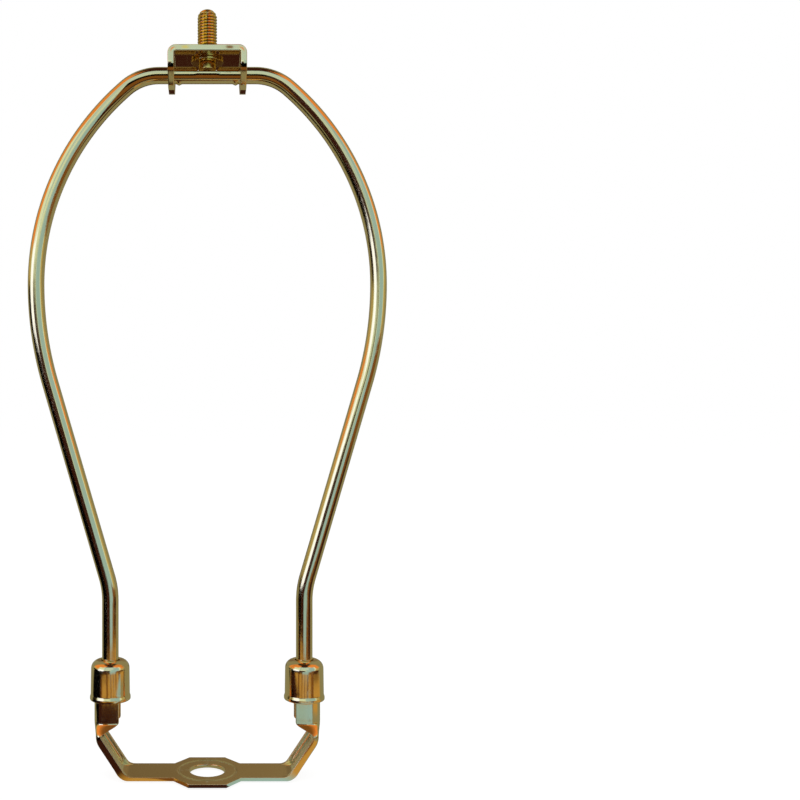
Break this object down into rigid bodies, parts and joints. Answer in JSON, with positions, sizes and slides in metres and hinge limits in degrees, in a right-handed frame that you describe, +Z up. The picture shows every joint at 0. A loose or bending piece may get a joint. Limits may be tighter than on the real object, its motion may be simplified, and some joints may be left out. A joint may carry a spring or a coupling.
{
  "type": "lamp harp",
  "caption": "Nine-inch detachable lamp harp in bright brass plate: bent wire on a folded saddle, two sliding ferrules, and a rocking bracket with a swivelling finial stud.",
  "frame": {"origin": "centre of the saddle's hole, on the saddle's underside", "axes": "+Z up through the finial stud, X across the harp between its feet, front is -Y"},
  "size_m": [0.114, 0.024, 0.2428],
  "materials": {
    "plated_steel": "bright brass plate, polished",
    "turned_brass": "bright, turned"
  },
  "bodies": {
    "saddle": {"saddle": "plated_steel"},
    "harp": {"harp_wire": "plated_steel"},
    "ferrule_left": {"ferrule_left": "plated_steel"},
    "ferrule_right": {"ferrule_right": "plated_steel"},
    "bracket": {"top_bracket": "plated_steel"},
    "stud": {"finial_stud": "turned_brass", "swivel_washer": "turned_brass"}
  },
  "joints": [
    {"name": "harp_lift", "type": "slide", "parent": "saddle", "child": "harp", "axis": [0, 0, 1], "range_m": [0, 0.04]},
    {"name": "ferrule_left_slide", "type": "slide", "parent": "harp", "child": "ferrule_left", "axis": [0, 0, 1], "range_m": [0, 0.018]},
    {"name": "ferrule_right_slide", "type": "slide", "parent": "harp", "child": "ferrule_right", "axis": [0, 0, 1], "range_m": [0, 0.018]},
    {"name": "bracket_rock", "type": "hinge", "parent": "harp", "child": "bracket", "pos_m": [0, 0, 0.2219], "axis": [1, 0, 0], "range_deg": [-7, 7]},
    {"name": "stud_swivel", "type": "hinge", "parent": "bracket", "child": "stud", "pos_m": [0, 0, 0.2286], "axis": [0, 0, 1], "continuous": true}
  ]
}
